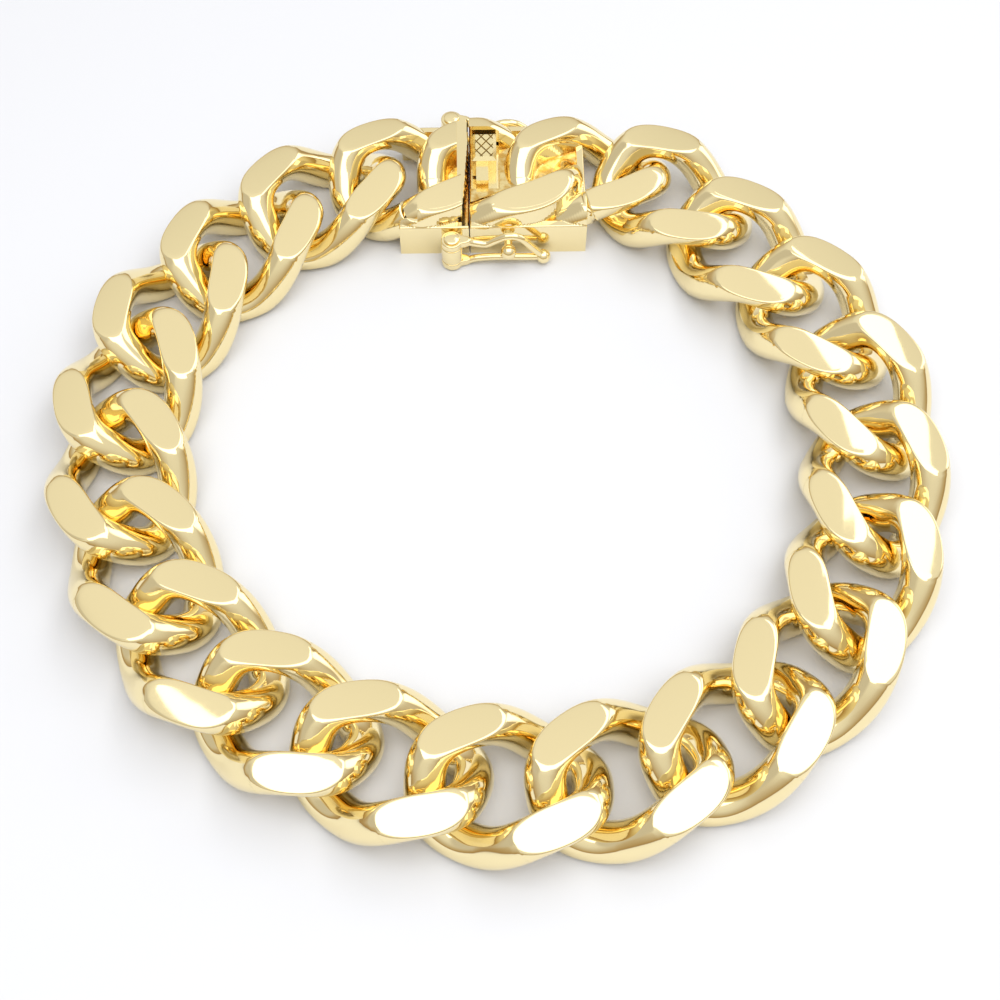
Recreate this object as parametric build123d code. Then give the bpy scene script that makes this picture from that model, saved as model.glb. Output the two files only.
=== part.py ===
from build123d import *
import math
import os

# Cuban link bracelet laid flat as a closed loop. Millimetres, +Z up.
# The origin is on the surface that the bracelet lies on, in the middle of its outline.
# The clasp lies along +X at the far side (+Y) of the loop.

# Chain
PITCH = 9.8                # centre to centre of two neighbouring links
WIRE = 3.6                 # diameter of the round wire that a link is bent from
CHAIN_WIDTH = 13.8         # outside width of a link across the chain
LINK_SLACK = 0.6           # free play between two straight neighbours
TWIST = 38.0               # degrees that each end of a link is twisted
TWIST_SHARPNESS = 1.8      # how much of the twist is in the middle of the link
OVAL_POWER = 2.6           # 2 is an ellipse, more is a fuller oval
THICKNESS = 6.2            # thickness of the ground chain at its middle
DOME_RADIUS = 38.0         # radius of the ground faces across the chain
RING_STATIONS = 13         # wire sections along half of a link
TANGENT_STEP = 0.001       # radians either side of a section, to find its direction

# Route of the chain: centre of each loose link in pitches and its heading in degrees,
# from the box end of the clasp round to the tongue end.
ROUTE = [
    (1.91, 3.03, -38), (2.62, 2.27, -49), (3.22, 1.46, -61), (3.56, 0.53, -80),
    (3.55, -0.45, -98), (3.30, -1.39, -113), (2.79, -2.21, -131), (2.02, -2.86, -149),
    (1.08, -3.23, -168), (0.06, -3.30, 176), (-0.95, -3.11, 162), (-1.87, -2.68, 148),
    (-2.67, -2.04, 133), (-3.24, -1.21, 116), (-3.54, -0.24, 99), (-3.54, 0.77, 80),
    (-3.19, 1.71, 59), (-2.54, 2.49, 43), (-1.75, 3.10, 28),
]
CLASP_PLACE = (0.10, 3.33)     # middle ring of the clasp, in pitches
LOOP_SHIFT = (-0.10, -1.30)    # centres the outline of the loop on the origin

# Clasp, in the frame of its box: X along the chain, Y away from the wrist, Z up.
CLASP_PITCH = 9.1          # spacing of the three rings cast into the clasp
CLASP_WIRE = 3.3           # wire of those rings
FLANK_TRIM = 0.2           # their flanks are ground this far inside the chain's
BOX_SHIFT = -0.45          # middle of the box off the middle of its rings, to the wrist
SEAM_X = -3.2              # where the two halves meet
SEAM_GAP = 0.12
BOX_WIDTH = 13.4           # outside, across the chain
BOX_HEIGHT = 4.1
BOX_END_X = 8.7            # outside of the box's end wall
WALL = 0.9
FLOOR = 0.7
ROOF = 0.7
TONGUE_FLOOR_X = -8.4      # left end of the tongue end's floor
TONGUE_WING = 1.9          # how much further left its side walls reach
END_PLATE = 1.1            # plate of the tongue end that closes the box
PLATE_TOP = 5.3

# Tongue: a fixed lower leaf and a sprung upper leaf with the thumb button
LEAF = 0.5                 # thickness of both leaves
LEAF_GAP = 0.25            # between a leaf and the floor of the box
LEAF_SIDE = 1.0            # between a leaf and the side walls of the box
ROOF_GAP = 0.125           # between the sprung leaf and the roof
FOLD_PLAY = 0.3            # between the tongue's fold and the end wall
FOLD_GAP = 0.12            # between the sprung leaf and the fold that it turns on
LIP = 0.6                  # lip at the mouth of the box that the sprung leaf catches on
LIP_DROP = 0.6
LIP_PLAY = 0.12
BUTTON_LENGTH = 2.5        # along the chain
BUTTON_WIDTH = 3.6
BUTTON_Y = 2.95            # middle of the button, off the box's middle
BUTTON_TOP = 5.4
BUTTON_EDGE = 0.35
BUTTON_PLAY = 0.3          # between the button and its slot
STEP_LENGTH = 1.25         # lower step beside the button
STEP_WIDTH = 2.2
STEP_INSET = 0.4           # the step starts this much further from the seam
STEP_TOP = 4.6

# Safety latches: a bent wire with two flat eyes that turn on a riveted pin
HINGE_X = -5.0
EYE_RADIUS = 1.1
EYE_HEIGHT = 0.8
EYE_TAIL = 1.9             # hinge axis to the narrow end of the eye
EYE_BOTTOM = 0.15          # lower eye above the surface
EYE_TO_WALL = 0.2
LUG_HEIGHT = 2.0           # lug of the tongue end, between the two eyes
LUG_PLAY = 0.08
PIN_RADIUS = 0.5
PIN_PLAY = 0.06
RIVET_RADIUS = 0.8
RIVET_HEIGHT = 0.25
LATCH_WIRE = 0.72          # diameter
LATCH_BEND = 0.7           # radius of its bends
LATCH_BALL = 0.72          # radius of the ball at its end
LATCH_BALL_X = 4.3
LATCH_BALL_Z = 0.95
PEG_X = 0.72               # ball peg on the box that the latch closes over
PEG_Z = 2.3
PEG_BALL = 0.75            # radius
PEG_NECK = 0.42            # radius
PEG_OUT = 0.45             # middle of the ball outside the latch's plane
LOOP_RISE = 2.0            # crest of the upper wire above the middle of the peg
LOOP_GAP = 0.12            # lower wire to the ball of the peg
# Bends of the two wires: share of the way from the eye's tail to the end ball, and
# share of LOOP_RISE above the peg, or of the drop to the lower wire below it
UPPER_BENDS = [(0.09, 0.45), (0.29, 0.76), (0.53, 1.00), (0.75, 0.50)]
LOWER_BENDS = [(0.12, 0.76), (0.34, 1.00), (0.68, 1.00)]

# Sizes that follow from the driving ones
half_thickness = THICKNESS / 2
reach = (PITCH + WIRE + LINK_SLACK) / 2       # half length of a link's centre line
half_span = (CHAIN_WIDTH - WIRE) / 2          # half width of a link's centre line
half_ring = CHAIN_WIDTH / 2 - FLANK_TRIM      # half width of the ground clasp rings
half_box = BOX_WIDTH / 2
seam_left = SEAM_X - SEAM_GAP / 2
seam_right = SEAM_X + SEAM_GAP / 2
cavity_half = half_box - WALL
cavity_top = BOX_HEIGHT - ROOF
cavity_end = BOX_END_X - WALL
lip_end = seam_right + LIP
leaf_half = cavity_half - LEAF_SIDE
lower_leaf = (FLOOR + LEAF_GAP, FLOOR + LEAF_GAP + LEAF)
upper_leaf = (cavity_top - ROOF_GAP - LEAF, cavity_top - ROOF_GAP)
fold_x = cavity_end - FOLD_PLAY - LEAF
fold_top = lower_leaf[1] + 1.5 * LEAF
button_x = (seam_right + BUTTON_PLAY, seam_right + BUTTON_PLAY + BUTTON_LENGTH)
button_y = (BUTTON_Y - BUTTON_WIDTH / 2, BUTTON_Y + BUTTON_WIDTH / 2)
slot_y = (button_y[0] - STEP_WIDTH - BUTTON_PLAY, button_y[1] + BUTTON_PLAY)
hinge_y = half_box + EYE_RADIUS + EYE_TO_WALL
lower_eye = (EYE_BOTTOM, EYE_BOTTOM + EYE_HEIGHT)
lug_z = (lower_eye[1] + LUG_PLAY, lower_eye[1] + LUG_PLAY + LUG_HEIGHT)
upper_eye = (lug_z[1] + LUG_PLAY, lug_z[1] + LUG_PLAY + EYE_HEIGHT)
rivet_z = (upper_eye[1] + LUG_PLAY, upper_eye[1] + LUG_PLAY + RIVET_HEIGHT)
clasp_reach = 2 * CLASP_PITCH + reach         # further than either half of the clasp
clasp_sides = (-half_box - half_ring, half_box + half_ring)


def ring_point(turn):
    """Centre line of a link: a full oval, twisted about its long axis, so that each end
    leans over by TWIST and the two long sides cross from under to over."""
    c = math.cos(turn)
    s = math.sin(turn)
    radius = (abs(c / reach) ** OVAL_POWER + abs(s / half_span) ** OVAL_POWER) ** (-1 / OVAL_POWER)
    x = radius * c
    y = radius * s
    share = math.tanh(TWIST_SHARPNESS * x / reach) / math.tanh(TWIST_SHARPNESS)
    lean = -math.radians(TWIST) * share
    return Vector(x, y * math.cos(lean), y * math.sin(lean))


def wire_section(turn, radius):
    """Round wire section square to the centre line."""
    tangent = ring_point(turn + TANGENT_STEP) - ring_point(turn - TANGENT_STEP)
    across = Vector(0, 0, 1).cross(tangent)
    return Plane(ring_point(turn), x_dir=across, z_dir=tangent) * Circle(radius)


def bent_ring(wire):
    """Whole twisted ring of round wire, as two lofted halves that meet at its ends."""
    halves = []
    for start in (0, math.pi):
        turns = [start + math.pi * i / (RING_STATIONS - 1) for i in range(RING_STATIONS)]
        halves.append(loft([wire_section(turn, wire / 2) for turn in turns]))
    return halves[0] + halves[1]


def ground_section(half):
    """Bar with the chain's ground section: two shallow domes back to back."""
    edge = half_thickness - DOME_RADIUS + math.sqrt(DOME_RADIUS ** 2 - half ** 2)
    top = ThreePointArc((-half, edge), (0, half_thickness), (half, edge))
    bottom = ThreePointArc((half, -edge), (0, -half_thickness), (-half, -edge))
    face = make_face([top, Line((half, edge), (half, -edge)), bottom,
                      Line((-half, -edge), (-half, edge))])
    return extrude(Plane.YZ * face, reach + WIRE, both=True)


def ground_ring(wire, half):
    """Ring whose upper and lower sides are ground down, and its flanks too past half."""
    return Pos(0, 0, half_thickness) * (bent_ring(wire) & ground_section(half))


def between(x, y, z):
    """Block between two corners, each given as a pair of low and high values."""
    block = Box(x[1] - x[0], y[1] - y[0], z[1] - z[0], align=(Align.MIN, Align.MIN, Align.MIN))
    return Pos(x[0], y[0], z[0]) * block


def pillar(x, y, z, radius):
    """Upright round pillar between two heights."""
    round_bar = Cylinder(radius, z[1] - z[0], align=(Align.CENTER, Align.CENTER, Align.MIN))
    return Pos(x, y, z[0]) * round_bar


def wall_band(side, inner, outer):
    """Low and high Y of a band between two distances from the clasp's middle."""
    return sorted((side * inner, side * outer))


def hinge_post(side):
    """Lug soldered to the side wall, with the riveted pin that the latch turns on."""
    y = side * hinge_y
    foot_x = (HINGE_X - EYE_RADIUS, HINGE_X + EYE_RADIUS)
    foot = between(foot_x, wall_band(side, half_box - WALL / 2, hinge_y), lug_z)
    lug = pillar(HINGE_X, y, lug_z, EYE_RADIUS)
    pin = pillar(HINGE_X, y, (lower_eye[0], rivet_z[1]), PIN_RADIUS)
    return foot + lug + pin + pillar(HINGE_X, y, rivet_z, RIVET_RADIUS)


def tongue_blade():
    """Fixed lower leaf of the tongue, turned up at the end that the spring leaf turns on."""
    y = (-leaf_half, leaf_half)
    leaf = between((seam_left - END_PLATE / 2, fold_x + LEAF), y, lower_leaf)
    return leaf + between((fold_x, fold_x + LEAF), y, (lower_leaf[0], fold_top))


def make_tongue_end(ring):
    """Left half of the clasp, soldered up into one solid."""
    keep = between((-clasp_reach, seam_left), clasp_sides, (0, THICKNESS))
    solid = ((Pos(-CLASP_PITCH, 0, 0) * ring) & keep) + (ring & keep)
    solid = solid + between((TONGUE_FLOOR_X, seam_left), (-half_box, half_box), (0, FLOOR))
    plate_half = half_box - WALL / 2
    plate_x = (seam_left - END_PLATE, seam_left)
    solid = solid + between(plate_x, (-plate_half, plate_half), (0, PLATE_TOP))
    for side in (-1, 1):
        wall_x = (TONGUE_FLOOR_X - TONGUE_WING, seam_left)
        solid = solid + between(wall_x, wall_band(side, cavity_half, half_box), (0, BOX_HEIGHT))
        solid = solid + hinge_post(side)
    return solid + tongue_blade()


def ball_peg(side):
    """Ball on a short neck that stands out of the side wall of the box."""
    start = half_box - WALL / 2
    neck = extrude(Plane.XZ * Circle(PEG_NECK), hinge_y + PEG_OUT - start)
    neck = neck if side < 0 else mirror(neck, about=Plane.XZ)
    return Pos(PEG_X, 0, PEG_Z) * (
        Pos(0, side * start, 0) * neck + Pos(0, side * (hinge_y + PEG_OUT), 0) * Sphere(PEG_BALL))


def make_box_end(ring):
    """Right half of the clasp, soldered up into one solid round the open box."""
    across = (-cavity_half, cavity_half)
    mouth_x = (seam_right - LIP, lip_end)
    slot_x = (seam_right - LIP, button_x[1] + BUTTON_PLAY)
    cavity = between((lip_end, cavity_end), across, (FLOOR, cavity_top))
    mouth = between(mouth_x, across, (FLOOR, cavity_top - LIP_DROP))
    slot = between(slot_x, slot_y, (cavity_top - LIP_DROP, THICKNESS))
    keep = between((seam_right, clasp_reach), clasp_sides, (0, THICKNESS))
    solid = between((seam_right, BOX_END_X), (-half_box, half_box), (0, BOX_HEIGHT))
    solid = solid - cavity - mouth - slot
    for part in (ring & keep, (Pos(CLASP_PITCH, 0, 0) * ring) & keep):
        solid = solid + (part - cavity - mouth - slot)
    return solid + ball_peg(-1) + ball_peg(1)


def make_spring_catch():
    """Upper leaf of the tongue with the thumb button that stands up through the slot."""
    free_x = lip_end + LIP_PLAY
    root_x = fold_x - FOLD_GAP
    outline = Polyline(
        (free_x, upper_leaf[0]), (free_x, upper_leaf[1]), (button_x[1], upper_leaf[1]),
        (root_x, fold_top), (root_x, fold_top - LEAF), (button_x[1], upper_leaf[0]), close=True)
    leaf = extrude(Plane.XZ * make_face(outline), leaf_half, both=True)
    pad = between(button_x, button_y, (upper_leaf[0], BUTTON_TOP))
    pad = chamfer(pad.edges().group_by(Axis.Z)[-1], BUTTON_EDGE)
    step_x = (button_x[0] + STEP_INSET, button_x[0] + STEP_INSET + STEP_LENGTH)
    step = between(step_x, (button_y[0] - STEP_WIDTH, button_y[0]), (upper_leaf[0], STEP_TOP))
    return leaf + pad + step


def latch_eye(z):
    """Flat drop-shaped eye round the pin, with its narrow end towards the wire."""
    tip = Pos(EYE_TAIL, 0) * Circle(LATCH_WIRE / 2)
    drop = make_hull(Circle(EYE_RADIUS).edges() + tip.edges())
    return Pos(HINGE_X, 0, z[0]) * extrude(drop, z[1] - z[0])


def latch_wire(eye, bends, lift):
    """Bent wire in the upright plane of the hinge, from an eye's tail to the end ball."""
    start_x = HINGE_X + EYE_TAIL
    way = LATCH_BALL_X - start_x
    points = [(start_x, 0, (eye[0] + eye[1]) / 2)]
    points += [(start_x + along * way, 0, PEG_Z + height * lift) for along, height in bends]
    points += [(LATCH_BALL_X, 0, LATCH_BALL_Z)]
    route = FilletPolyline(*points, radius=LATCH_BEND)
    start = Plane(route @ 0, z_dir=route % 0)
    return sweep(start * Circle(LATCH_WIRE / 2), path=route)


def make_latch(side):
    """Safety latch: two eyes on the hinge pin and a wire loop that closes round the ball
    peg and ends in a small ball."""
    drop = PEG_BALL + LOOP_GAP + LATCH_WIRE / 2
    solid = latch_eye(lower_eye) + latch_eye(upper_eye)
    solid = solid + latch_wire(upper_eye, UPPER_BENDS, LOOP_RISE)
    solid = solid + latch_wire(lower_eye, LOWER_BENDS, -drop)
    solid = solid + Pos(LATCH_BALL_X, 0, LATCH_BALL_Z) * Sphere(LATCH_BALL)
    bore = pillar(HINGE_X, 0, (lower_eye[0], upper_eye[1]), PIN_RADIUS + PIN_PLAY)
    return Pos(0, side * hinge_y, 0) * (solid - bore)


def in_loop(across, along, heading):
    """Place on the route, from pitches to millimetres."""
    x = across * PITCH + LOOP_SHIFT[0]
    y = along * PITCH + LOOP_SHIFT[1]
    return Pos(x, y, 0) * Rot(0, 0, heading)


os.makedirs("parts", exist_ok=True)
nodes = {}
link = ground_ring(WIRE, CHAIN_WIDTH / 2)
for number, (across, along, heading) in enumerate(ROUTE, start=1):
    nodes[f"link_{number:02d}"] = in_loop(across, along, heading) * link
clasp = in_loop(*CLASP_PLACE, 0) * Pos(0, BOX_SHIFT, 0)
clasp_ring = Pos(0, -BOX_SHIFT, 0) * ground_ring(CLASP_WIRE, half_ring)
nodes["tongue_end"] = clasp * make_tongue_end(clasp_ring)
nodes["spring_catch"] = clasp * make_spring_catch()
nodes["box_end"] = clasp * make_box_end(clasp_ring)
nodes["latch_near"] = clasp * make_latch(-1)
nodes["latch_far"] = clasp * make_latch(1)

for name, solid in nodes.items():
    export_step(solid, f"parts/{name}.step")
    print(name, len(solid.solids()), "solid", round(solid.volume, 1), "mm3", solid.is_valid)
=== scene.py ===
import bmesh
import bpy
import math
import numpy as np
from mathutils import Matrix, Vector


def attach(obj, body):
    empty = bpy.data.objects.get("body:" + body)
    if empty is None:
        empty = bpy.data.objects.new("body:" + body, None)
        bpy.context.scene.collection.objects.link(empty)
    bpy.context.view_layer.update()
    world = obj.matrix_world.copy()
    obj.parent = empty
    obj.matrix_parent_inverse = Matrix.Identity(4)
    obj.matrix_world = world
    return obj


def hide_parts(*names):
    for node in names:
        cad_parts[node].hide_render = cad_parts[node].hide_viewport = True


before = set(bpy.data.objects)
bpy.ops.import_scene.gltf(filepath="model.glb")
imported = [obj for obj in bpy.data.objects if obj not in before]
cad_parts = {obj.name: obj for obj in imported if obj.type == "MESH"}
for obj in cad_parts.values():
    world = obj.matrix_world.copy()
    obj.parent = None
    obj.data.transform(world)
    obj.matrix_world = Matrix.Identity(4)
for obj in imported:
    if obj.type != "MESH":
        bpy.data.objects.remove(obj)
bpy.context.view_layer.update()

# Loose links: each is one oval ring of round brass wire, bent and soldered shut, twisted
# about its long axis so that it hooks flat into its neighbours, then ground and polished
# on its upper and lower side into four shallow-domed flats, and gold plated.
MM = 0.001
PITCH = 9.8
LINK_WIRE = 3.6
LINK_WIDTH = 13.8
LINK_SLACK = 0.6
LINK_TWIST = math.radians(38)
TWIST_SHARPNESS = 1.8
OVAL_POWER = 2.6
HALF_THICKNESS = 3.1
DOME_RADIUS = 38.0
RIM_WIDTH = 0.34              # strip along the edge of a ground flat that gets extra rows
RIM_ROWS = 3
RIM_SHARE = (0.02, 0.22)      # least and most of a flat's width that one such strip takes
EDGE_SOFTNESS = 0.22          # how far the buffed edge of a flat is rounded over
NARROW = 0.12                 # half the angle of the narrowest flat on the wire
GRAZING = 0.02                # half the angle below which the dome misses the wire
LEVEL_RAY = 0.02              # slope below which a ray from the centre line counts as level
EARLY_FADE = 8.0              # length over which a near side's early rise fades out
ROUTE = [                     # ring centres in pitches, and headings in degrees
    (1.91, 3.03, -38), (2.62, 2.27, -49), (3.22, 1.46, -61), (3.56, 0.53, -80),
    (3.55, -0.45, -98), (3.30, -1.39, -113), (2.79, -2.21, -131), (2.02, -2.86, -149),
    (1.08, -3.23, -168), (0.06, -3.30, 176), (-0.95, -3.11, 162), (-1.87, -2.68, 148),
    (-2.67, -2.04, 133), (-3.24, -1.21, 116), (-3.54, -0.24, 99), (-3.54, 0.77, 80),
    (-3.19, 1.71, 59), (-2.54, 2.49, 43), (-1.75, 3.10, 28),
]
LOOP_SHIFT = np.array([-0.10, -1.30])  # from the route's origin to the middle of the outline


def ring_line(turn, left=LINK_TWIST, right=LINK_TWIST, early=0):
    """Centre line of a ring: the point of a full oval (a superellipse) at angle turn,
    turned about the long axis by the twist times tanh of its distance along that axis.
    The twist of the left half can differ from that of the right half, and the near side
    can rise earlier by a distance in millimetres, fading out towards the right end."""
    reach = (PITCH + LINK_WIRE + LINK_SLACK) / 2
    half_span = (LINK_WIDTH - LINK_WIRE) / 2
    c = np.cos(turn)
    s = np.sin(turn)
    radius = (np.abs(c / reach) ** OVAL_POWER
              + np.abs(s / half_span) ** OVAL_POWER) ** (-1 / OVAL_POWER)
    x = radius * c
    y = radius * s
    twist = np.where(x < 0, left, right)
    shifted = x + early * np.maximum(-s, 0) * np.clip(0.5 - x / EARLY_FADE, 0, 1)
    lean = -twist * np.tanh(TWIST_SHARPNESS * shifted / reach) / math.tanh(TWIST_SHARPNESS)
    return np.stack([x, y * np.cos(lean), y * np.sin(lean)], -1)


def dome(y):
    """Height of the ground face: the circle of DOME_RADIUS across the chain."""
    return HALF_THICKNESS - DOME_RADIUS + np.sqrt(DOME_RADIUS ** 2 - y ** 2)


def ring_surface(wire, left=LINK_TWIST, right=LINK_TWIST, early=0,
                 stations=200, flat_steps=7, round_steps=11):
    """Grid of points on a ground ring. At each station of the centre line the wire's
    circle is cut where it meets the upper and lower dome; the ends of both cuts are found
    by Newton's rule on height minus dome height, and the section runs straight between
    them and round the circle elsewhere. Each point is then moved along its ray from the
    centre line to the nearer of circle and dome, blended smoothly over EDGE_SOFTNESS."""
    turn = np.linspace(0, 2 * np.pi, stations, endpoint=False)
    centre = ring_line(turn, left, right, early)
    step = 1e-4
    along = ring_line(turn + step, left, right, early) - ring_line(turn - step, left, right, early)
    along /= np.linalg.norm(along, axis=1)[:, None]
    up = np.array([0, 0, 1.0]) - along * along[:, 2:]
    up /= np.linalg.norm(up, axis=1)[:, None]
    side = np.cross(along, up)
    radius = wire / 2

    def on_wire(angle):
        """Point of the wire's circle at an angle from the section's own upward direction."""
        return (centre[:, None] + radius * (np.cos(angle)[..., None] * up[:, None]
                                            + np.sin(angle)[..., None] * side[:, None]))

    def cut_ends(sign):
        """Angles where the circle passes through the dome, either side of its crest."""
        middle = 0.0 if sign > 0 else np.pi
        above = dome(centre[:, 1]) - sign * centre[:, 2]
        half = np.arccos(np.clip(above / (radius * up[:, 2]), -1, 1))
        ends = []
        for way in (-1, 1):
            angle = middle + way * np.maximum(half, GRAZING)
            for _ in range(6):
                point = on_wire(angle[:, None])[:, 0]
                ahead = on_wire(angle[:, None] + 1e-3)[:, 0]
                here = sign * point[:, 2] - dome(point[:, 1])
                rate = (sign * ahead[:, 2] - dome(ahead[:, 1]) - here) / 1e-3
                move = np.clip(here / np.where(np.abs(rate) < 1e-3, 1e-3, rate), -0.2, 0.2)
                angle = np.where(half > NARROW, angle - move, angle)
            ends.append(angle)
        narrow = (ends[1] - ends[0]) < 2 * NARROW
        mid = np.where(half > GRAZING, (ends[0] + ends[1]) / 2, middle)
        low = np.where(narrow, mid - NARROW, ends[0])
        high = np.where(narrow, mid + NARROW, ends[1])
        return low, high, narrow

    def rows(low, high, steps):
        """Points round the wire between two angles, with closer rows near both ends."""
        rim = np.clip(RIM_WIDTH / radius / (high - low), *RIM_SHARE)[:, None]
        ends = np.linspace(0, 1, RIM_ROWS, endpoint=False)[None]
        even = np.linspace(0, 1, steps)[None]
        share = np.concatenate([rim * ends, rim + even * (1 - 2 * rim),
                                1 - rim * ends[:, :0:-1]], axis=1)
        return share, on_wire(low[:, None] + share * (high - low)[:, None])

    def flat(low, high, narrow):
        """Points straight between the two ends of a cut."""
        share, arc = rows(low, high, flat_steps)
        first = on_wire(low[:, None])
        last = on_wire(high[:, None])
        return np.where(narrow[:, None, None], arc, first + share[..., None] * (last - first))

    top_a, top_b, top_thin = cut_ends(1)
    low_a, low_b, low_thin = cut_ends(-1)
    grid = np.concatenate([
        flat(top_a, top_b, top_thin), rows(top_b, low_a, round_steps)[1],
        flat(low_a, low_b, low_thin), rows(low_b, top_a + 2 * np.pi, round_steps)[1]], axis=1)
    ray = grid - centre[:, None]
    ray /= np.linalg.norm(ray, axis=-1, keepdims=True)
    side_of = np.where(ray[..., 2] < 0, -1, 1)
    to_dome = np.full(ray.shape[:2], radius)
    for _ in range(5):
        height = dome(centre[:, None, 1] + to_dome * ray[..., 1]) - side_of * centre[:, None, 2]
        to_dome = np.clip(height / np.maximum(np.abs(ray[..., 2]), LEVEL_RAY), 0.1, 2 * radius)
    blend = np.clip(1 - np.abs(to_dome - radius) / EDGE_SOFTNESS, 0, 1)
    length = np.minimum(to_dome, radius) - EDGE_SOFTNESS * blend ** 2 / 4
    return centre[:, None] + length[..., None] * ray


def closed_mesh(name, grid):
    """Mesh of a grid in millimetres that closes on itself both ways, like a ring of wire."""
    rows, columns, _ = grid.shape
    i = np.arange(rows)[:, None]
    j = np.arange(columns)[None]
    next_i = (i + 1) % rows
    next_j = (j + 1) % columns
    quads = np.stack([i * columns + j, i * columns + next_j,
                      next_i * columns + next_j, next_i * columns + j], -1).reshape(-1, 4)
    mesh = bpy.data.meshes.new(name)
    mesh.from_pydata((grid.reshape(-1, 3) * MM).tolist(), [], quads.tolist())
    mesh.shade_smooth()
    return mesh


def placed(grid, x, y, heading):
    """Grid turned about +Z by heading and moved to x, y on the surface."""
    c = math.cos(heading)
    s = math.sin(heading)
    return np.stack([x + c * grid[..., 0] - s * grid[..., 1],
                     y + s * grid[..., 0] + c * grid[..., 1],
                     grid[..., 2] + HALF_THICKNESS], -1)


def show(mesh, material, body, slot_name, *nodes):
    """Object of a mesh at the origin, riding on its body and standing for its nodes."""
    piece = bpy.data.objects.new(mesh.name, mesh)
    bpy.context.scene.collection.objects.link(piece)
    if material:
        mesh.materials.append(material)
    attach(piece, body)
    if nodes:
        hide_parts(*nodes)
    return piece


def linear(code):
    """sRGB hex to linear colour: each channel to the power 2.4 after its offset."""
    channels = [int(code[i:i + 2], 16) / 255 for i in (0, 2, 4)]
    return [((c + 0.055) / 1.055) ** 2.4 if c > 0.04045 else c / 12.92
            for c in channels] + [1.0]


def add(tree, kind, settings=None, **inputs):
    """Adds a node, sets its settings, and sets or links its inputs by name or number."""
    node = tree.nodes.new("ShaderNode" + kind)
    for key, value in (settings or {}).items():
        setattr(node, key, value)
    for key, value in inputs.items():
        name = int(key[1:]) if key[1:].isdigit() else key.replace("_", " ")
        socket = node.inputs[name]
        if isinstance(value, bpy.types.NodeSocket):
            tree.links.new(value, socket)
        else:
            socket.default_value = value
    return node


# Gold plate on buffed brass: a mirror with the pale yellow of thin plating, a faint
# waviness from the buffing wheel and hair-fine haze in its gloss.
buffed_gold = bpy.data.materials.new("buffed gold plate")
buffed_gold.use_nodes = True
tree = buffed_gold.node_tree
gold = tree.nodes["Principled BSDF"]
gold.inputs["Base Color"].default_value = linear("F9E8B5")
gold.inputs["Metallic"].default_value = 1.0
place = add(tree, "TexCoord").outputs["Object"]
BUFF_WAVE = 2.6               # millimetres from one swell of the surface to the next
BUFF_DEPTH = 0.006
HAZE_GRAIN = 0.35
GLOSS = (0.03, 0.075)         # roughness where the haze is thinnest and thickest
wave = add(tree, "TexNoise", Vector=place, Scale=1 / (BUFF_WAVE * MM), Detail=1.0)
haze = add(tree, "TexNoise", Vector=place, Scale=1 / (HAZE_GRAIN * MM), Detail=3.0)
rough = add(tree, "MapRange", Value=haze.outputs["Fac"], To_Min=GLOSS[0], To_Max=GLOSS[1])
bump = add(tree, "Bump", Height=wave.outputs["Fac"], Strength=1.0, Distance=BUFF_DEPTH * MM)
tree.links.new(rough.outputs["Result"], gold.inputs["Roughness"])
tree.links.new(bump.outputs["Normal"], gold.inputs["Normal"])

link_grid = ring_surface(LINK_WIRE)
for number, (across, along, heading) in enumerate(ROUTE, start=1):
    x, y = np.array([across, along]) * PITCH + LOOP_SHIFT
    ring_grid = placed(link_grid, x, y, math.radians(heading))
    mesh = closed_mesh(f"ground_ring_{number:02d}", ring_grid)
    show(mesh, buffed_gold, "bracelet", "link_gold", f"link_{number:02d}")

# Clasp, cast parts: both halves carry on the pattern of the links. Each is one brass
# casting, with bars shaped like links whose flanks run straight down into its side walls,
# ground with the chain on top and left rough as cast in the hollows between the bars.
CLASP_AT = np.array([0.88, 31.334])  # middle of the cut ring, the clasp's own origin
CLASP_PITCH = 9.1
CLASP_WIRE = 3.3
CLASP_TWIST = math.radians(35)
BAR_EARLY = 3.3               # how much sooner the near side of a bar comes up
FIRST_BAR_EARLY = 1.2         # the same for the bar at the chain's left end
WALL_NEAR = -7.15             # outside of the side walls, from the middle of the bars
WALL_FAR = 6.25
WALL_TOP = 4.1
RIM = 0.75                    # width of the ledge on top of a side wall
HOLLOW = 3.4                  # level of the cast hollows of the tongue end
BOX_HOLLOW = 3.7              # the same for the box end
SKIN_FROM = 0.12              # how far below a ledge the rough skin starts
SEAM_LEFT = -3.26
SEAM_RIGHT = -3.14
TONGUE_LEFT = -8.4
WING_LEFT = -10.3
BOX_RIGHT = 8.7
SKIRT = 1.24                  # how much further out a flank reaches than the wire
FLANK_DRAFT = 4.0             # fall of a flank for each millimetre outwards
FLANK_START = 0.97            # share of the wire's radius where that flank begins
BAR_INSET = 0.04              # how far a cast bar lies inside the ring that covers it
DOME_INSET = 0.015            # the same on top, below the ground dome
DOME_SOFTNESS = 0.22          # rounding of the edge between a flank and the dome
CORNER = 0.16                 # rounding of the outer edges
GRID_STEP = 0.06
SHARP_CAST = math.radians(40)  # steepest turn between faces that is still shaded smooth


def rounded_less(first, second, softness):
    """Smaller of two values, with the corner between them rounded over the softness."""
    near = np.clip(1 - np.abs(first - second) / softness, 0, 1)
    return np.minimum(first, second) - softness * near ** 2 / 4


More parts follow.
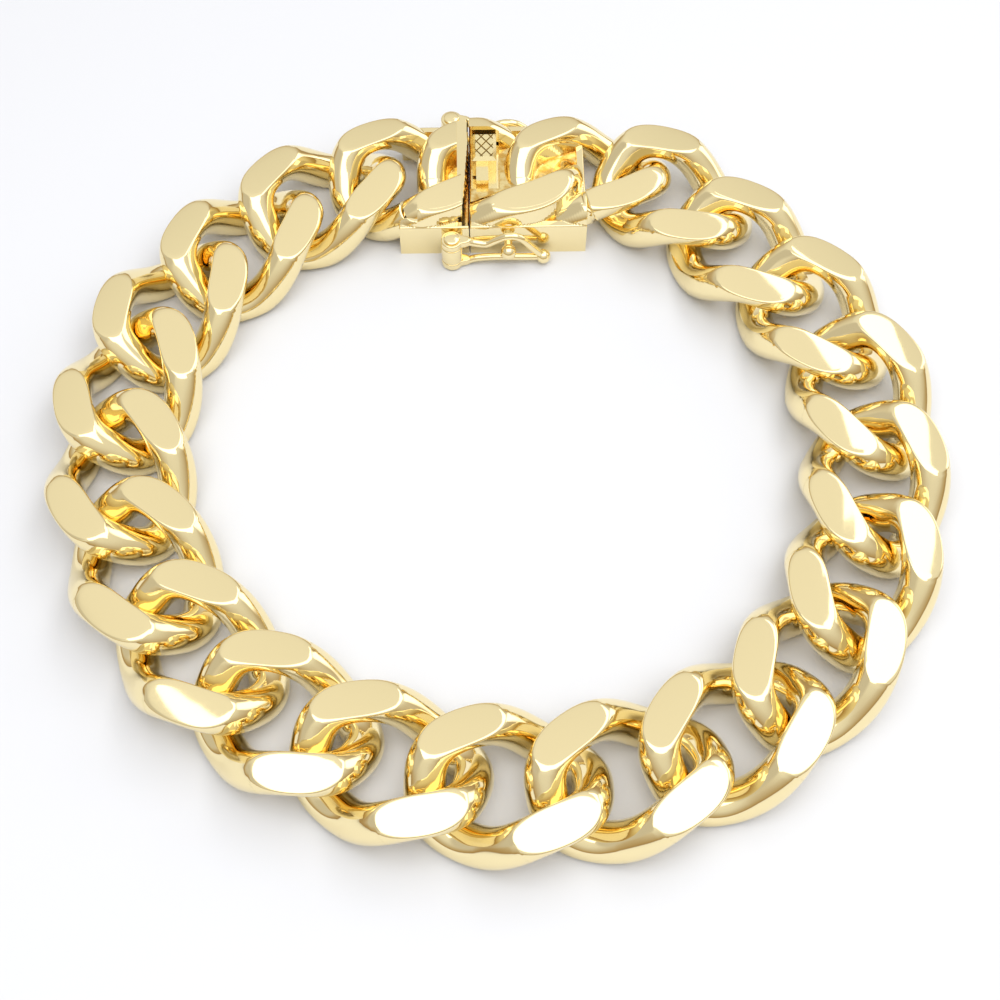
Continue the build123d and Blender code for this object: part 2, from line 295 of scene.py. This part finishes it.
def bar_height(x, y, middle, early):
    """Height of one link-shaped bar over a grid: the highest point of a ball of the wire's
    radius rolled along its centre line, with a steep straight flank below its widest part,
    cut off by the ground dome."""
    turn = np.linspace(0, 2 * np.pi, 150, endpoint=False)
    line = ring_line(turn, CLASP_TWIST, CLASP_TWIST, early)
    line[:, 0] += middle
    radius = CLASP_WIRE / 2 - BAR_INSET
    top = np.full(x.shape, -10.0)
    for point in line:
        across = y - point[1]
        if point[1] < 0:
            across = np.where(across < 0, across / SKIRT, across)
        share = np.hypot(x - point[0], across) / radius
        ball = np.sqrt(np.clip(1 - share ** 2, 0, 1))
        flank = math.sqrt(1 - FLANK_START ** 2) - FLANK_DRAFT * (share - FLANK_START)
        top = np.maximum(top, point[2] + radius * np.where(share < FLANK_START, ball, flank))
    return rounded_less(top, dome(y) - DOME_INSET, DOME_SOFTNESS) + HALF_THICKNESS


def spaced(low, high):
    """Grid lines between two edges, close together where the edge is rounded."""
    ends = CORNER * np.array([0, 0.05, 0.18, 0.4, 0.7])
    count = round((high - low - 2 * CORNER) / GRID_STEP)
    inner = np.linspace(low + CORNER, high - CORNER, count)
    return np.concatenate([low + ends, inner, (high - ends)[::-1]])


def casting(name, x_range, y_range, height_of, is_rough, square_left=False):
    """Closed block under a height over a grid of x and y. Near its four sides the height
    falls by a quarter circle of the radius CORNER, and its sides go straight down to the
    surface that it lies on. Faces in the hollows take the second material. The left edge
    stays square where another casting carries on from it."""
    x, y = np.meshgrid(spaced(*x_range), spaced(*y_range), indexing="ij")
    height = height_of(x, y)
    for value, (low, high) in ((x, x_range), (y, y_range)):
        from_low = value - low + (CORNER if value is x and square_left else 0)
        inside = np.clip(CORNER - np.minimum(from_low, high - value), 0, CORNER)
        height = height - (CORNER - np.sqrt(CORNER ** 2 - inside ** 2))
    rows, columns = x.shape
    index = np.arange(rows * columns).reshape(rows, columns)
    border = np.concatenate([index[:, 0], index[-1, 1:], index[-2::-1, -1], index[0, -2:0:-1]])
    top = np.stack([x, y, height], -1).reshape(-1, 3)
    base = top[border] * [1, 1, 0]
    ring = np.arange(len(border))
    below = rows * columns + ring
    faces = np.stack([index[:-1, :-1], index[1:, :-1], index[1:, 1:], index[:-1, 1:]], -1)
    sides = np.stack([below, np.roll(below, -1), np.roll(border, -1), border], -1)
    points = np.concatenate([top, base]) + [*CLASP_AT, 0]
    mesh = bpy.data.meshes.new(name)
    mesh.from_pydata((points * MM).tolist(), [],
                     faces.reshape(-1, 4).tolist() + sides.tolist() + [below[::-1].tolist()])
    middle_x = (x[1:, 1:] + x[:-1, :-1]) / 2
    middle_y = (y[1:, 1:] + y[:-1, :-1]) / 2
    middle_z = (height[1:, 1:] + height[:-1, :-1]) / 2
    rough = is_rough(middle_x, middle_y, middle_z).ravel().astype(int)
    mesh.materials.append(buffed_gold)
    mesh.materials.append(cast_gold)
    plain = np.zeros(len(sides) + 1, int)
    mesh.polygons.foreach_set("material_index", np.concatenate([rough, plain]))
    mesh.shade_smooth()
    mesh.set_sharp_from_angle(angle=SHARP_CAST)
    return mesh


# Gold plate in the hollows: the grainy skin of the casting, which scatters what it mirrors. Its
# colour is painted darker and browner than the polished gold, in random blotches, as shade in the
# hollows.
cast_gold = bpy.data.materials.new("gold plate as cast")
cast_gold.use_nodes = True
tree = cast_gold.node_tree
skin = tree.nodes["Principled BSDF"]
skin.inputs["Metallic"].default_value = 1.0
skin.inputs["Roughness"].default_value = 0.2
CAST_GRAIN = 0.28             # sand grains of the mould, drawn about as coarse as they are
CAST_DEPTH = 0.018
# Size of the random blotches in the painted shade of the hollows.
SHADE_BLOTCH = 3 * CAST_GRAIN
place = add(tree, "TexCoord").outputs["Object"]
grain = add(tree, "TexNoise", Vector=place, Scale=1 / (CAST_GRAIN * MM), Detail=3.0)
shade_blotches = add(tree, "TexNoise", Vector=place, Scale=1 / (SHADE_BLOTCH * MM), Detail=2.0)
spread = add(tree, "MapRange", Value=shade_blotches.outputs["Fac"], From_Min=0.38, From_Max=0.62)
# Painted shade: the hollows get a darker, browner gold than the polished faces, blotched at random
# between two tones.
hollow_shade = add(tree, "Mix", {"data_type": "RGBA"}, _0=spread.outputs["Result"],
           _6=linear("D9AE5C"), _7=linear("F4DFA0"))
bump = add(tree, "Bump", Height=grain.outputs["Fac"], Strength=1.0, Distance=CAST_DEPTH * MM)
tree.links.new(hollow_shade.outputs[2], skin.inputs["Base Color"])
tree.links.new(bump.outputs["Normal"], skin.inputs["Normal"])

# Tongue end: the plate along the seam stands above the ledges, and a dark slit, wide
# near the wrist and shut on the far side, runs between the plate and the box.
PLATE_WIDTH = 1.15
PLATE_TOP = 5.3
PLATE_ENDS = (-5.2, WALL_FAR - 0.3)
SLIT_NEAR = 0.72              # width of the slit at its end near the wrist
SLIT_LEVEL = 0.8
SLIT_SHUT = 0.2               # share of the clasp's width, from the far side, where it is shut
SLIT_END = WALL_NEAR + 0.25


def tongue_height(x, y):
    """Tongue end: left bars and ledges, then the end plate, and the slit that widens in a
    straight line from where it is shut to the wrist side."""
    height = np.where((y < WALL_NEAR + RIM) | (y > WALL_FAR - RIM), WALL_TOP, HOLLOW)
    first_bar = bar_height(x, y, -CLASP_PITCH, FIRST_BAR_EARLY)
    cut_bar = bar_height(x, y, 0, BAR_EARLY)
    height = np.maximum(height, np.maximum(first_bar, cut_bar))
    plate = (x > SEAM_LEFT - PLATE_WIDTH) & (y > PLATE_ENDS[0]) & (y < PLATE_ENDS[1])
    height = np.where(plate, PLATE_TOP, height)
    taper = (WALL_FAR - y) / (WALL_FAR - WALL_NEAR)
    opened = np.clip((taper - SLIT_SHUT) / (1 - SLIT_SHUT), 0, 1)
    slit = (x > SEAM_LEFT - SLIT_NEAR * opened) & (y > SLIT_END)
    return np.where(slit, SLIT_LEVEL, height)


def in_hollow(x, y, z):
    """Faces well below the ledges, and the flanks that lead down to them."""
    between = (y > WALL_NEAR + RIM / 2) & (y < WALL_FAR - RIM / 2)
    return between & (z < WALL_TOP - SKIN_FROM)


mesh = casting("tongue_casting", (TONGUE_LEFT, SEAM_LEFT), (WALL_NEAR, WALL_FAR),
               tongue_height, in_hollow, square_left=True)
show(mesh, None, "bracelet", "clasp_gold", "tongue_end")

# Wings of the tongue end: its side walls run on past the block in the same casting,
# either side of the ring that holds the chain.
WING_THICK = 0.9
WING_DROP = 0.9               # how far a wing's top stays below the ground dome
WING_INSET = 0.004            # keeps a wing's outer face from lying in the block's own
WING_OVERLAP = 0.3


def wing_height(x, y):
    """Wings of the side walls: the wall's own top or the flank of the outermost bar."""
    first_bar = bar_height(x, y, -CLASP_PITCH, FIRST_BAR_EARLY)
    below_dome = dome(y) + HALF_THICKNESS - WING_DROP
    return np.maximum(np.minimum(first_bar, below_dome), WALL_TOP)


def nowhere(x, y, z):
    """No face: the whole casting is polished."""
    return np.zeros(x.shape, bool)


for side, y_range in (("near", (WALL_NEAR + WING_INSET, WALL_NEAR + WING_THICK)),
                      ("far", (WALL_FAR - WING_THICK, WALL_FAR - WING_INSET))):
    mesh = casting(f"tongue_wing_{side}", (WING_LEFT, TONGUE_LEFT + WING_OVERLAP), y_range,
                   wing_height, nowhere)
    show(mesh, None, "bracelet", "clasp_gold")

# Box end: closed on top but for the slot that the thumb button rises through, with a
# shallow pocket beside the slot for the thumb's tip.
SLOT_X = (SEAM_RIGHT - 1, -0.04)
SLOT_Y = (-1.8, 4.6)
SLOT_LEVEL = 2.5
POCKET_X = (-0.1, 1.35)
POCKET_Y = (2.3, 5.3)
POCKET_LEVEL = 3.5


def box_height(x, y):
    """Box end: right bars, ledges, the slot for the thumb button and the pocket beside it."""
    ledge = (y < WALL_NEAR + RIM) | (y > WALL_FAR - RIM) | (x > BOX_RIGHT - RIM)
    height = np.where(ledge, WALL_TOP, BOX_HOLLOW)
    bars = np.maximum(bar_height(x, y, 0, BAR_EARLY), bar_height(x, y, CLASP_PITCH, BAR_EARLY))
    height = np.maximum(height, bars)
    pocket = (x > POCKET_X[0]) & (x < POCKET_X[1]) & (y > POCKET_Y[0]) & (y < POCKET_Y[1])
    slot = (x > SLOT_X[0]) & (x < SLOT_X[1]) & (y > SLOT_Y[0]) & (y < SLOT_Y[1])
    return np.where(slot, SLOT_LEVEL, np.where(pocket, np.minimum(height, POCKET_LEVEL), height))


mesh = casting("box_casting", (SEAM_RIGHT, BOX_RIGHT), (WALL_NEAR, WALL_FAR),
               box_height, in_hollow)
show(mesh, None, "bracelet", "clasp_gold", "box_end")


def cut_at(mesh, x, keep_right):
    """Cuts a closed mesh at a plane across X, keeps one side and closes the cut."""
    body = bmesh.new()
    body.from_mesh(mesh)
    side = -1 if keep_right else 1
    cut = bmesh.ops.bisect_plane(body, geom=body.verts[:] + body.edges[:] + body.faces[:],
                                 plane_co=(x * MM, 0, 0), plane_no=(side, 0, 0), clear_outer=True)
    rim = [part for part in cut["geom_cut"] if isinstance(part, bmesh.types.BMEdge)]
    bmesh.ops.holes_fill(body, edges=rim)
    body.to_mesh(mesh)
    body.free()
    mesh.set_sharp_from_angle(angle=SHARP_CAST)
    return mesh


def cut_block(mesh, low, high):
    """Cuts a block between two corners out of a closed mesh that has no material yet."""
    corners = np.array([[x, y, z] for x in (low[0], high[0])
                        for y in (low[1], high[1]) for z in (low[2], high[2])])
    sides = [(0, 1, 3, 2), (4, 6, 7, 5), (0, 4, 5, 1), (2, 3, 7, 6), (0, 2, 6, 4), (1, 5, 7, 3)]
    tool_mesh = bpy.data.meshes.new("block")
    tool_mesh.from_pydata(((corners + [*CLASP_AT, 0]) * MM).tolist(), [], sides)
    tool = bpy.data.objects.new("block", tool_mesh)
    work = bpy.data.objects.new("work", mesh)
    for item in (tool, work):
        bpy.context.scene.collection.objects.link(item)
    cutting = work.modifiers.new("cut", "BOOLEAN")
    cutting.object = tool
    cutting.solver = "EXACT"
    graph = bpy.context.evaluated_depsgraph_get()
    made = bpy.data.meshes.new_from_object(work.evaluated_get(graph))
    for item in (tool, work):
        bpy.data.objects.remove(item)
    name = mesh.name
    bpy.data.meshes.remove(mesh)
    bpy.data.meshes.remove(tool_mesh)
    made.name = name
    made.materials.clear()
    made.polygons.foreach_set("material_index", np.zeros(len(made.polygons), int))
    made.set_sharp_from_angle(angle=SHARP_CAST)
    return made


# Clasp bars: the link-shaped bars proper, ground and polished with the chain. The two
# outer ones hold the chain's last links, and the middle ring is cut at the seam. Each row
# gives its middle, the twists of its left and right half, and where and how it is cut.
ABOVE_ALL = 9.0
BARS = {
    "tongue_ring": (-CLASP_PITCH, LINK_TWIST, CLASP_TWIST, SEAM_LEFT - SLIT_NEAR, "left"),
    "tongue_half_ring": (0, CLASP_TWIST, CLASP_TWIST, SEAM_LEFT - PLATE_WIDTH, "left"),
    "box_half_ring": (0, CLASP_TWIST, CLASP_TWIST, SEAM_RIGHT, "right"),
    "box_ring": (CLASP_PITCH, CLASP_TWIST, LINK_TWIST, None, "whole"),
}
for name, (middle, left, right, edge, kept) in BARS.items():
    early = FIRST_BAR_EARLY if middle < 0 else BAR_EARLY
    grid = ring_surface(CLASP_WIRE, left=left, right=right, early=early)
    mesh = closed_mesh(name, placed(grid, CLASP_AT[0] + middle, CLASP_AT[1], 0))
    if kept != "whole":
        cut_at(mesh, CLASP_AT[0] + edge, kept == "right")
    if name == "box_half_ring":
        mesh = cut_block(mesh, (SLOT_X[0], SLOT_Y[0], SLOT_LEVEL),
                         (SLOT_X[1], SLOT_Y[1], ABOVE_ALL))
    show(mesh, buffed_gold, "bracelet", "clasp_gold")

# Hinge posts and ball pegs: turned brass parts soldered to the side walls. Each latch
# turns on a pin with a lug between its two eyes, and closes over a ball on a short neck.
BOX_MIDDLE = -0.45            # middle between the side walls, from the middle of the bars
HINGE = (-5.0, 8.0)           # along the clasp, and out from its middle
LUG_ENDS = (1.03, 3.03)
LUG_RADIUS = 1.1
PIN_ENDS = (0.16, 4.2)
PIN_RADIUS = 0.5
RIVET_RADIUS = 0.8
RIVET_FLATNESS = 0.22
FOOT_RADIUS = 0.98
SUNK = 0.3                    # length of a foot or neck inside the wall
PEG = (0.72, 8.45)            # the same for the middle of a peg's ball
PEG_LEVEL = {"near": 2.3, "far": 2.1}
BALL_RADIUS = {"near": 0.8, "far": 0.7}  # the far ball fits the lower wire of its latch
NECK_RADIUS = 0.42
ROUND = 0.14                  # rounding of a rod's ends
SHARP_TURNED = math.radians(50)


def capped(name, grid):
    """Closed mesh of a grid, in the clasp's own millimetres, that closes round its columns
    and gets one face over each end, with its faces turned outwards."""
    rows, columns, _ = grid.shape
    i = np.arange(rows - 1)[:, None]
    j = np.arange(columns)[None]
    after = (j + 1) % columns
    quads = np.stack([i * columns + j, i * columns + after,
                      (i + 1) * columns + after, (i + 1) * columns + j], -1)
    caps = [list(range(columns))[::-1], list(range((rows - 1) * columns, rows * columns))]
    points = grid.reshape(-1, 3) + [*CLASP_AT, 0]
    mesh = bpy.data.meshes.new(name)
    mesh.from_pydata((points * MM).tolist(), [], quads.reshape(-1, 4).tolist() + caps)
    body = bmesh.new()
    body.from_mesh(mesh)
    bmesh.ops.recalc_face_normals(body, faces=body.faces[:])
    body.to_mesh(mesh)
    body.free()
    mesh.shade_smooth()
    mesh.set_sharp_from_angle(angle=SHARP_TURNED)
    return mesh


def turned(name, profile, at, axis, sides=48):
    """Turned part: a profile of distances along its axis and radii, swept round."""
    angle = np.linspace(0, 2 * np.pi, sides, endpoint=False)
    first = np.array([axis[1], axis[2], axis[0]], float)
    second = np.cross(axis, first)
    circle = np.cos(angle)[:, None] * first + np.sin(angle)[:, None] * second
    grid = profile[:, None, :1] * np.array(axis, float) + profile[:, None, 1:] * circle
    return capped(name, grid + np.array(at))


def rod(start, end, radius):
    """Profile of a rod whose ends are rounded by a quarter circle of the radius ROUND."""
    bend = np.linspace(np.pi / 2, 0, 5)
    low = np.stack([start + ROUND * (1 - np.sin(bend)),
                    radius - ROUND * (1 - np.cos(bend))], -1)
    high = np.stack([start + end - low[:, 0], low[:, 1]], -1)[::-1]
    return np.concatenate([low, high])


def ball(radius, steps=20, pole=0.03):
    """Profile of a ball from just beside one pole to just beside the other."""
    angle = np.linspace(pole, np.pi - pole, steps)
    return np.stack([-radius * np.cos(angle), radius * np.sin(angle)], -1)


for side, way in (("near", -1), ("far", 1)):
    wall = WALL_NEAR if way < 0 else WALL_FAR
    hinge_y = BOX_MIDDLE + way * HINGE[1]
    ball_y = BOX_MIDDLE + way * PEG[1]
    post = (HINGE[0], hinge_y, 0)
    rivet_at = (HINGE[0], hinge_y, PIN_ENDS[1] - PIN_ENDS[0])
    foot_at = (HINGE[0], wall, sum(LUG_ENDS) / 2)
    neck_at = (PEG[0], wall, PEG_LEVEL[side])
    ball_at = (PEG[0], ball_y, PEG_LEVEL[side])
    up = (0, 0, 1)
    out = (0, way, 0)
    rivet = ball(RIVET_RADIUS) * [RIVET_FLATNESS, 1]
    foot = rod(-SUNK, abs(hinge_y - wall), FOOT_RADIUS)
    neck = rod(-SUNK, abs(ball_y - wall), NECK_RADIUS)
    for mesh in (turned(f"hinge_lug_{side}", rod(*LUG_ENDS, LUG_RADIUS), post, up),
                 turned(f"hinge_pin_{side}", rod(*PIN_ENDS, PIN_RADIUS), post, up),
                 turned(f"rivet_{side}", rivet, rivet_at, up),
                 turned(f"hinge_foot_{side}", foot, foot_at, out),
                 turned(f"peg_neck_{side}", neck, neck_at, out),
                 turned(f"peg_ball_{side}", ball(BALL_RADIUS[side]), ball_at, out)):
        show(mesh, buffed_gold, "bracelet", "clasp_gold")

# Thumb catch: a brass pad on the end of the tongue's sprung upper leaf, gold plated to a
# satin gloss. Its top is cross-hatched with a graver, so that the thumb doesn't slip.
engraved_gold = bpy.data.materials.new("engraved satin gold plate")
engraved_gold.use_nodes = True
tree = engraved_gold.node_tree
satin = tree.nodes["Principled BSDF"]
satin.inputs["Metallic"].default_value = 1.0
satin.inputs["Roughness"].default_value = 0.26
HATCH_PITCH = 1.0
HATCH_SLOPE = 0.8             # how far a line moves along the clasp for each step across it
HATCH_FROM = 5.38             # only the pad's top face, above this level, is engraved
HATCH_DEPTH = 0.12
LINE_EDGE = (0.02, 0.10)      # half the width of a line at its foot and top, in pitches
place = add(tree, "SeparateXYZ", Vector=add(tree, "TexCoord").outputs["Object"])
grooves = []
for way in (-1, 1):
    lean = add(tree, "Math", {"operation": "MULTIPLY"},
               _0=place.outputs["Y"], _1=way * HATCH_SLOPE)
    across = add(tree, "Math", {"operation": "ADD"},
                 _0=place.outputs["X"], _1=lean.outputs["Value"])
    count = add(tree, "Math", {"operation": "MULTIPLY"},
                _0=across.outputs["Value"], _1=1 / (HATCH_PITCH * MM))
    from_line = add(tree, "Math", {"operation": "PINGPONG"},
                    _0=count.outputs["Value"], _1=0.5)
    groove = add(tree, "MapRange", {"interpolation_type": "SMOOTHSTEP"},
                 Value=from_line.outputs["Value"], From_Min=LINE_EDGE[0], From_Max=LINE_EDGE[1])
    grooves.append(groove.outputs["Result"])
both = add(tree, "Math", {"operation": "MINIMUM"}, _0=grooves[0], _1=grooves[1])
on_top = add(tree, "Math", {"operation": "GREATER_THAN"},
             _0=place.outputs["Z"], _1=HATCH_FROM * MM)
uncut = add(tree, "Mix", _0=on_top.outputs["Value"], _2=1.0, _3=both.outputs["Value"]).outputs[0]
# Painted shade: the engraved lines are coloured dark brown as shade in the grooves, and the flat
# top is pale gold. The bump gives the lines their depth.
groove_shade = add(tree, "Mix", {"data_type": "RGBA"}, _0=uncut,
           _6=linear("8F6F34"), _7=linear("F6E6B0"))
bump = add(tree, "Bump", Height=uncut, Strength=1.0, Distance=HATCH_DEPTH * MM)
tree.links.new(groove_shade.outputs[2], satin.inputs["Base Color"])
tree.links.new(bump.outputs["Normal"], satin.inputs["Normal"])
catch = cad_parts["spring_catch"]
catch.data.materials.clear()
catch.data.materials.append(engraved_gold)

# Safety latches: round brass wire bent over a former, with a flattened eye at each end of
# the bend for the hinge pin and a small ball soldered where the two runs meet.
WIRE_RADIUS = 0.38
EYE_RADIUS = 1.1
TAIL_BASE = 0.25              # part of the tail's reach that is the same all round
TAIL_REACH = 1.9              # part of it that falls with the cosine of the angle
TAIL_NARROWING = 2.2          # how fast both draw in beside the tail's middle line
TAIL_POWER = 1.5
EYE_LEVELS = {"upper": 3.11, "lower": 0.15}
EYE_THICK = 0.8
EYE_CORNERS = 5               # power of the section's superellipse
PIN_HOLE = 0.54
END_BALL_AT = (4.3, 0.95)
END_BALL_RADIUS = 0.74
UPPER_WAY = [(-3.3, 3.5), (-2.6, 3.25), (-1.5, 3.1), (-0.4, 3.75),
             (0.7, 4.25), (1.9, 3.95), (3.1, 2.5), (4.3, 1.0)]
LOWER_WAY = [(-3.3, 0.55), (-2.4, 0.85), (-1.0, 1.0), (0.7, 0.98), (2.6, 0.95), (4.3, 0.95)]
BEND_FROM = -3.0              # left of here both upper wires run alike, into their eyes
BEND_FOOT = 1.0
BEND_SHARE = {"near": 1, "far": 0.66}  # height of the upper wire's bend above its foot


def bent_wire(name, way, y, radius=WIRE_RADIUS, steps=90, sides=20):
    """Round wire along a smooth way in the plane across Y: a Catmull-Rom line through the
    points of the way, with a circle square to it at each step."""
    way = np.array(way)
    way = np.concatenate([2 * way[:1] - way[1:2], way, 2 * way[-1:] - way[-2:-1]])
    t = np.linspace(0, len(way) - 3 - 1e-6, steps)
    k = t.astype(int)
    f = (t - k)[:, None]
    before, start, end, beyond = way[k], way[k + 1], way[k + 2], way[k + 3]
    line = 0.5 * (2 * start + (end - before) * f
                  + (2 * before - 5 * start + 4 * end - beyond) * f ** 2
                  + (3 * start - before - 3 * end + beyond) * f ** 3)
    along = np.gradient(line, axis=0)
    along /= np.linalg.norm(along, axis=1)[:, None]
    angle = np.linspace(0, 2 * np.pi, sides, endpoint=False)
    up = np.stack([-along[:, 1], along[:, 0]], -1)
    grid = np.zeros((steps, sides, 3))
    grid[..., 0] = line[:, None, 0] + radius * np.cos(angle) * up[:, None, 0]
    grid[..., 1] = y + radius * np.sin(angle)
    grid[..., 2] = line[:, None, 1] + radius * np.cos(angle) * up[:, None, 1]
    return capped(name, grid)


def eye(name, low, y):
    """Flattened eye: a ring whose outline is the circle round the hinge pin or, where the
    wire starts, a narrow tail. The tail reaches out by its base plus the cosine's part,
    divided by one plus its narrowing times a power of the sine. The outline is smoothed
    once. The section is a rectangle with rounded corners (a superellipse)."""
    angle = np.linspace(0, 2 * np.pi, 72, endpoint=False)
    tail = TAIL_REACH * np.maximum(np.cos(angle), 0) + TAIL_BASE
    shrink = 1 + TAIL_NARROWING * np.abs(np.sin(angle)) ** TAIL_POWER
    drop = np.maximum(EYE_RADIUS, np.where(np.cos(angle) > 0, tail / shrink, 0))
    drop = (np.roll(drop, 1) + 2 * drop + np.roll(drop, -1)) / 4
    around = np.linspace(0, 2 * np.pi, 24, endpoint=False)
    c = np.cos(around)
    s = np.sin(around)
    full = (np.abs(c) ** EYE_CORNERS + np.abs(s) ** EYE_CORNERS) ** (-1 / EYE_CORNERS)
    radius = (PIN_HOLE + drop[:, None]) / 2 + (drop[:, None] - PIN_HOLE) / 2 * c * full
    height = low + EYE_THICK / 2 * (1 + s * full) + 0 * radius
    grid = np.stack([HINGE[0] + radius * np.cos(angle)[:, None],
                     y + radius * np.sin(angle)[:, None], height], -1)
    return closed_mesh(name, grid[:, ::-1] + [*CLASP_AT, 0])


for side, way in (("near", -1), ("far", 1)):
    y = BOX_MIDDLE + way * HINGE[1]
    body = f"latch_{side}"
    upper_way = [(x, BEND_FOOT + (z - BEND_FOOT) * (BEND_SHARE[side] if x > BEND_FROM else 1))
                 for x, z in UPPER_WAY]
    wire = bent_wire(f"{body}_upper_wire", upper_way, y)
    show(wire, buffed_gold, body, "latch_gold", body)
    for mesh in (bent_wire(f"{body}_lower_wire", LOWER_WAY, y),
                 eye(f"{body}_upper_eye", EYE_LEVELS["upper"], y),
                 eye(f"{body}_lower_eye", EYE_LEVELS["lower"], y),
                 turned(f"{body}_ball", ball(END_BALL_RADIUS),
                        (END_BALL_AT[0], y, END_BALL_AT[1]), (1, 0, 0))):
        show(mesh, buffed_gold, body, "latch_gold")

# Floor: a plain pale sheet of matt paper, lying level under the bracelet. It is so large
# that its edge is close to the horizon even in a low view.
FLOOR_HALF = 4.0              # in metres
floor_mesh = bpy.data.meshes.new("paper")
floor_mesh.from_pydata([(-FLOOR_HALF, -FLOOR_HALF, 0), (FLOOR_HALF, -FLOOR_HALF, 0),
                        (FLOOR_HALF, FLOOR_HALF, 0), (-FLOOR_HALF, FLOOR_HALF, 0)],
                       [], [(0, 1, 2, 3)])
paper = bpy.data.objects.new("paper", floor_mesh)
bpy.context.scene.collection.objects.link(paper)
white = bpy.data.materials.new("matt white paper")
white.use_nodes = True
sheet = white.node_tree.nodes["Principled BSDF"]
sheet.inputs["Base Color"].default_value = linear("D6D8DD")
sheet.inputs["Roughness"].default_value = 0.95
sheet.inputs["Specular IOR Level"].default_value = 0.1
floor_mesh.materials.append(white)

# Studio room: pale above and browner towards the table, with a bright low window at the
# far right and a slightly dimmer wall on the left.
world = bpy.data.worlds.new("studio")
bpy.context.scene.world = world
bpy.context.scene.cycles.glossy_bounces = 8
world.use_nodes = True
sky = world.node_tree
way = add(sky, "TexCoord").outputs["Generated"]
height = add(sky, "SeparateXYZ", Vector=way).outputs["Z"]
walls = add(sky, "ValToRGB", Fac=height)
WALL_STOPS = [                # sine of the height above the horizon, and the wall's colour
    (0.0, (0.38, 0.26, 0.13, 1)),
    (0.10, (0.48, 0.37, 0.23, 1)),
    (0.30, (0.62, 0.56, 0.48, 1)),
    (0.55, (0.80, 0.79, 0.77, 1)),
    (1.0, (0.97, 0.96, 0.95, 1)),
]
for rise, colour in WALL_STOPS[1:-1]:
    walls.color_ramp.elements.new(rise)
for element, (rise, colour) in zip(walls.color_ramp.elements, WALL_STOPS):
    element.position = rise
    element.color = colour
room = walls.outputs["Color"]


def patch(room, azimuth, rise, inner, outer, colour):
    """Round soft-edged patch of the room in one direction, from +Y towards +X and up, all
    in degrees: its share is the smooth step of the cosine of the angle from its middle,
    from its outer to its inner radius."""
    a = math.radians(azimuth)
    e = math.radians(rise)
    middle = (math.sin(a) * math.cos(e), math.cos(a) * math.cos(e), math.sin(e))
    cosine = add(sky, "VectorMath", {"operation": "DOT_PRODUCT"}, _0=way, _1=middle)
    share = add(sky, "MapRange", {"interpolation_type": "SMOOTHSTEP"},
                Value=cosine.outputs["Value"], From_Min=math.cos(math.radians(outer)),
                From_Max=math.cos(math.radians(inner)))
    mixed = add(sky, "Mix", {"data_type": "RGBA"},
                _0=share.outputs["Result"], _6=room, _7=colour)
    return mixed.outputs[2]


WINDOW_LIGHT = (1.9, 1.9, 1.9, 1)
DIM_WALL = (0.62, 0.60, 0.58, 1)
room = patch(room, 62, 20, 12, 24, WINDOW_LIGHT)
room = patch(room, 265, 35, 18, 34, DIM_WALL)
sky.links.new(room, sky.nodes["Background"].inputs["Color"])
sky.nodes["Background"].inputs["Strength"].default_value = 1.0

# Soft light: level softboxes over the bracelet and beyond its right side. There is none
# behind it on the left, so that flats which mirror that part of the room stay gold.
SOFTBOX_HEIGHT = 250
SOFTBOX_RADIANCE = 3.7


def softbox(name, low, high, feather=12, layers=3):
    """Level rectangular light between two corners, facing down. Its edge fades over the
    feather, because it is layered from slightly larger lights, and the power of each is
    its share of the radiance times pi times its area."""
    for layer in range(layers):
        grow = feather * (layer / (layers - 1) - 0.5)
        light = bpy.data.lights.new(f"{name}_{layer}", "AREA")
        light.shape = "RECTANGLE"
        light.size = (high[0] - low[0] + 2 * grow) * MM
        light.size_y = (high[1] - low[1] + 2 * grow) * MM
        light.energy = SOFTBOX_RADIANCE / layers * math.pi * light.size * light.size_y
        holder = bpy.data.objects.new(light.name, light)
        holder.location = ((low[0] + high[0]) / 2 * MM, (low[1] + high[1]) / 2 * MM,
                           SOFTBOX_HEIGHT * MM)
        bpy.context.scene.collection.objects.link(holder)


softbox("overhead_softbox", (-128, -150), (185, 30))
softbox("side_softbox", (75, 30), (185, 125))
softbox("far_softbox", (60, 125), (185, 215))

# Camera at the photograph's angle: its rise above the floor, its step round the side, and
# its distance from the point that it looks at.
CAMERA_LENS = 54.0
CAMERA_RISE = math.radians(61.645)
CAMERA_SIDE = math.radians(-1.0)
CAMERA_DISTANCE = 134.04
CAMERA_TARGET = Vector((0.202, -8.273, 6.27))
aim = Vector((-math.sin(CAMERA_SIDE) * math.cos(CAMERA_RISE),
              math.cos(CAMERA_SIDE) * math.cos(CAMERA_RISE), -math.sin(CAMERA_RISE)))
lens = bpy.data.cameras.new("camera")
lens.lens = CAMERA_LENS
lens.sensor_width = 36.0
lens.clip_start = 0.005
camera = bpy.data.objects.new("camera", lens)
camera.location = (CAMERA_TARGET - aim * CAMERA_DISTANCE) * MM
camera.rotation_euler = aim.to_track_quat("-Z", "Y").to_euler()
bpy.context.scene.collection.objects.link(camera)
bpy.context.scene.camera = camera
bpy.context.scene.view_settings.view_transform = "Standard"
